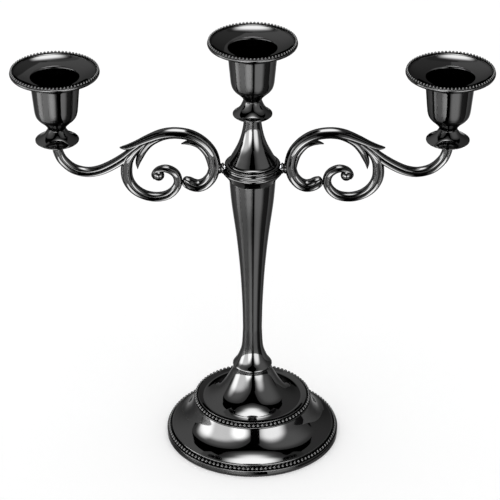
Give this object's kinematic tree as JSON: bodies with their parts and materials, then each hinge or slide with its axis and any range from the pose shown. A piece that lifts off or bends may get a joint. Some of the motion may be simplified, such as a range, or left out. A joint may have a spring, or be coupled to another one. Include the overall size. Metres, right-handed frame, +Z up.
{
  "type": "tabletop candelabra",
  "caption": "Black nickel tabletop candelabra with a beaded two-tier foot, a baluster column and a turning branch of scrolled arms that hold cups for taper candles.",
  "frame": {"origin": "centre of the foot's underside, on the table", "axes": "+Z up along the column's axis, +X along the arms at rest, -Y towards the viewer in the picture"},
  "size_m": [0.2654, 0.1, 0.2517],
  "materials": {
    "black_nickel": "mirror-polished black nickel plate",
    "steel": "plain turned steel",
    "iron": "as cast",
    "felt": "black felt"
  },
  "bodies": {
    "stand": {"felt_pad": "felt", "bottom_plate": "steel", "base_shell": "black_nickel", "foot_beading": "black_nickel", "tier_beading": "black_nickel", "base_weight": "iron", "rod_washer": "steel", "rod_nut": "steel", "tie_rod": "steel", "column": "black_nickel", "pivot_bush": "steel", "cone": "black_nickel", "drip_pan_centre": "black_nickel", "cup_stud_centre": "steel", "cup_centre": "black_nickel", "cup_beading_centre": "black_nickel"},
    "branch": {"hub_ring": "black_nickel", "arm_ferrule_left": "black_nickel", "arm_ferrule_right": "black_nickel", "arm_stud_left": "steel", "arm_stud_right": "steel", "arm_left": "black_nickel", "arm_right": "black_nickel", "drip_pan_left": "black_nickel", "drip_pan_right": "black_nickel", "cup_stud_left": "steel", "cup_stud_right": "steel", "cup_left": "black_nickel", "cup_right": "black_nickel", "cup_beading_left": "black_nickel", "cup_beading_right": "black_nickel"}
  },
  "joints": [
    {"name": "branch_swivel", "type": "hinge", "parent": "stand", "child": "branch", "pos_m": [0, 0, 0.172], "axis": [0, 0, 1], "continuous": true}
  ]
}
